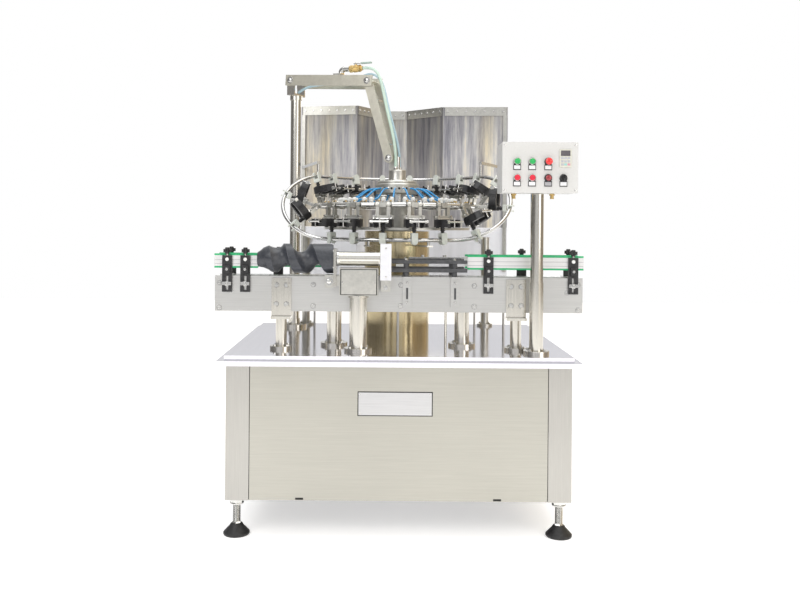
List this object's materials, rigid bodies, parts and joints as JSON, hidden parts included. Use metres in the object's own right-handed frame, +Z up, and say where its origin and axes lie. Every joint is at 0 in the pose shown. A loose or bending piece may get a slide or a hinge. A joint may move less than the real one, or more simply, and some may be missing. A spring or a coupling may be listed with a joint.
{
  "type": "rotary bottle rinsing machine",
  "caption": "Rotary bottle rinser: slat conveyor with infeed screw feeds a carousel of flip-over grippers with spray hoses, a bent cam rail, splash guard and control box on a cabinet.",
  "frame": {"origin": "on the floor under the carousel axis, which is the middle of the machine's box", "axes": "+Z up, +X the way the bottles travel, -Y towards the operator"},
  "size_m": [1.466, 1.438, 1.932],
  "materials": {
    "stainless": "satin",
    "cabinet_steel": "satin",
    "gripper_metal": "satin",
    "screw_plastic": "matte",
    "guide_plastic": "matte",
    "elbow_plastic": "gloss",
    "hose_blue": "gloss",
    "hose_clear": "gloss",
    "chain_steel": "satin",
    "box_paint": "satin",
    "button_green": "gloss",
    "button_red": "gloss",
    "knob_black": "matte",
    "valve_brass": "satin",
    "foot_rubber": "matte",
    "motor_paint": "satin"
  },
  "bodies": {
    "base": {"cabinet_frame": "cabinet_steel", "front_panel": "cabinet_steel", "cabinet_panels": "cabinet_steel", "table_top": "cabinet_steel", "leveling_feet": "foot_rubber", "drive_motor": "motor_paint", "conveyor_frame": "stainless", "conveyor_chain": "chain_steel", "conveyor_supports": "stainless", "guide_rails": "stainless", "rail_brackets": "guide_plastic", "screw_drive": "stainless", "bottle_guides": "guide_plastic", "center_column": "stainless", "flip_rail": "stainless", "rail_stays": "stainless", "drip_tray": "stainless", "arm_post": "stainless", "arm_beam": "stainless", "arm_link": "stainless", "distributor_cap": "stainless", "water_pipe": "valve_brass", "water_hoses": "hose_clear", "splash_guard": "stainless", "guard_frame": "stainless", "control_post": "stainless", "control_box": "box_paint", "control_fittings": "knob_black"},
    "carousel": {"carousel_rotor": "stainless", "distributor_rotor": "stainless", "spray_hoses": "hose_blue", "hose_elbows": "elbow_plastic"},
    "infeed_screw": {"infeed_screw": "screw_plastic"},
    "drive_sprocket": {"drive_sprocket": "stainless"},
    "idle_sprocket": {"idle_sprocket": "stainless"},
    "start_button_left": {"start_button_left": "button_green"},
    "start_button_right": {"start_button_right": "button_green"},
    "stop_button_left": {"stop_button_left": "button_red"},
    "stop_button_right": {"stop_button_right": "button_red"},
    "emergency_stop": {"emergency_stop": "button_red"},
    "selector_knob": {"selector_knob": "knob_black"},
    "valve_lever": {"valve_lever": "valve_brass"},
    "gripper_01": {"gripper_01": "gripper_metal"},
    "gripper_02": {"gripper_02": "gripper_metal"},
    "gripper_03": {"gripper_03": "gripper_metal"},
    "gripper_04": {"gripper_04": "gripper_metal"},
    "gripper_05": {"gripper_05": "gripper_metal"},
    "gripper_06": {"gripper_06": "gripper_metal"},
    "gripper_07": {"gripper_07": "gripper_metal"},
    "gripper_08": {"gripper_08": "gripper_metal"},
    "gripper_09": {"gripper_09": "gripper_metal"},
    "gripper_10": {"gripper_10": "gripper_metal"},
    "gripper_11": {"gripper_11": "gripper_metal"},
    "gripper_12": {"gripper_12": "gripper_metal"},
    "gripper_13": {"gripper_13": "gripper_metal"},
    "gripper_14": {"gripper_14": "gripper_metal"},
    "gripper_15": {"gripper_15": "gripper_metal"},
    "gripper_16": {"gripper_16": "gripper_metal"},
    "gripper_17": {"gripper_17": "gripper_metal"},
    "gripper_18": {"gripper_18": "gripper_metal"}
  },
  "joints": [
    {"name": "carousel_spin", "type": "hinge", "parent": "base", "child": "carousel", "pos_m": [0, 0, 1.15], "axis": [0, 0, 1], "continuous": true},
    {"name": "infeed_screw_spin", "type": "hinge", "parent": "base", "child": "infeed_screw", "pos_m": [-0.4, -0.514, 1.044], "axis": [1, 0, 0], "continuous": true},
    {"name": "drive_sprocket_spin", "type": "hinge", "parent": "base", "child": "drive_sprocket", "pos_m": [0.668, -0.442, 0.915], "axis": [0, 1, 0], "continuous": true},
    {"name": "idle_sprocket_spin", "type": "hinge", "parent": "base", "child": "idle_sprocket", "pos_m": [-0.668, -0.442, 0.915], "axis": [0, 1, 0], "continuous": true},
    {"name": "gripper_01_flip", "type": "hinge", "parent": "carousel", "child": "gripper_01", "pos_m": [0.0646, -0.36635, 1.262], "axis": [-0.9848, -0.1736, 0], "range_deg": [0, 180]},
    {"name": "gripper_02_flip", "type": "hinge", "parent": "carousel", "child": "gripper_02", "pos_m": [0.186, -0.32216, 1.262], "axis": [-0.866, -0.5, 0], "range_deg": [0, 180]},
    {"name": "gripper_03_flip", "type": "hinge", "parent": "carousel", "child": "gripper_03", "pos_m": [0.28497, -0.23912, 1.262], "axis": [-0.6428, -0.766, 0], "range_deg": [-27, 153]},
    {"name": "gripper_04_flip", "type": "hinge", "parent": "carousel", "child": "gripper_04", "pos_m": [0.34957, -0.12723, 1.262], "axis": [-0.342, -0.9397, 0], "range_deg": [-87, 93]},
    {"name": "gripper_05_flip", "type": "hinge", "parent": "carousel", "child": "gripper_05", "pos_m": [0.372, 0, 1.262], "axis": [0, -1, 0], "range_deg": [-147, 33]},
    {"name": "gripper_06_flip", "type": "hinge", "parent": "carousel", "child": "gripper_06", "pos_m": [0.34957, 0.12723, 1.262], "axis": [0.342, -0.9397, 0], "range_deg": [-168, 12]},
    {"name": "gripper_07_flip", "type": "hinge", "parent": "carousel", "child": "gripper_07", "pos_m": [0.28497, 0.23912, 1.262], "axis": [0.6428, -0.766, 0], "range_deg": [-168, 12]},
    {"name": "gripper_08_flip", "type": "hinge", "parent": "carousel", "child": "gripper_08", "pos_m": [0.186, 0.32216, 1.262], "axis": [0.866, -0.5, 0], "range_deg": [-168, 12]},
    {"name": "gripper_09_flip", "type": "hinge", "parent": "carousel", "child": "gripper_09", "pos_m": [0.0646, 0.36635, 1.262], "axis": [0.9848, -0.1736, 0], "range_deg": [-168, 12]},
    {"name": "gripper_10_flip", "type": "hinge", "parent": "carousel", "child": "gripper_10", "pos_m": [-0.0646, 0.36635, 1.262], "axis": [0.9848, 0.1736, 0], "range_deg": [-168, 12]},
    {"name": "gripper_11_flip", "type": "hinge", "parent": "carousel", "child": "gripper_11", "pos_m": [-0.186, 0.32216, 1.262], "axis": [0.866, 0.5, 0], "range_deg": [-168, 12]},
    {"name": "gripper_12_flip", "type": "hinge", "parent": "carousel", "child": "gripper_12", "pos_m": [-0.28497, 0.23912, 1.262], "axis": [0.6428, 0.766, 0], "range_deg": [-168, 12]},
    {"name": "gripper_13_flip", "type": "hinge", "parent": "carousel", "child": "gripper_13", "pos_m": [-0.34957, 0.12723, 1.262], "axis": [0.342, 0.9397, 0], "range_deg": [-168, 12]},
    {"name": "gripper_14_flip", "type": "hinge", "parent": "carousel", "child": "gripper_14", "pos_m": [-0.372, 0, 1.262], "axis": [0, 1, 0], "range_deg": [-111, 69]},
    {"name": "gripper_15_flip", "type": "hinge", "parent": "carousel", "child": "gripper_15", "pos_m": [-0.34957, -0.12723, 1.262], "axis": [-0.342, 0.9397, 0], "range_deg": [-51, 129]},
    {"name": "gripper_16_flip", "type": "hinge", "parent": "carousel", "child": "gripper_16", "pos_m": [-0.28497, -0.23912, 1.262], "axis": [-0.6428, 0.766, 0], "range_deg": [0, 180]},
    {"name": "gripper_17_flip", "type": "hinge", "parent": "carousel", "child": "gripper_17", "pos_m": [-0.186, -0.32216, 1.262], "axis": [-0.866, 0.5, 0], "range_deg": [0, 180]},
    {"name": "gripper_18_flip", "type": "hinge", "parent": "carousel", "child": "gripper_18", "pos_m": [-0.0646, -0.36635, 1.262], "axis": [-0.9848, 0.1736, 0], "range_deg": [0, 180]},
    {"name": "start_button_left_press", "type": "slide", "parent": "base", "child": "start_button_left", "axis": [0, 1, 0], "range_m": [0, 0.004], "stiffness_N_per_m": 500, "springref_m": -0.003},
    {"name": "start_button_right_press", "type": "slide", "parent": "base", "child": "start_button_right", "axis": [0, 1, 0], "range_m": [0, 0.004], "stiffness_N_per_m": 500, "springref_m": -0.003},
    {"name": "stop_button_left_press", "type": "slide", "parent": "base", "child": "stop_button_left", "axis": [0, 1, 0], "range_m": [0, 0.004], "stiffness_N_per_m": 500, "springref_m": -0.003},
    {"name": "stop_button_right_press", "type": "slide", "parent": "base", "child": "stop_button_right", "axis": [0, 1, 0], "range_m": [0, 0.004], "stiffness_N_per_m": 500, "springref_m": -0.003},
    {"name": "emergency_stop_press", "type": "slide", "parent": "base", "child": "emergency_stop", "axis": [0, 1, 0], "range_m": [0, 0.005], "stiffness_N_per_m": 500, "springref_m": -0.003},
    {"name": "selector_turn", "type": "hinge", "parent": "base", "child": "selector_knob", "pos_m": [0.618, -0.66, 1.362], "axis": [0, 1, 0], "range_deg": [-45, 45]},
    {"name": "valve_turn", "type": "hinge", "parent": "base", "child": "valve_lever", "pos_m": [-0.19653, 0.08757, 1.926], "axis": [0, 0, 1], "range_deg": [0, 90]}
  ],
  "couplings": [
    {"joint": "infeed_screw_spin", "follows": "carousel_spin", "ratio": -18},
    {"joint": "drive_sprocket_spin", "follows": "carousel_spin", "ratio": 7.3667},
    {"joint": "idle_sprocket_spin", "follows": "carousel_spin", "ratio": 7.3667}
  ]
}
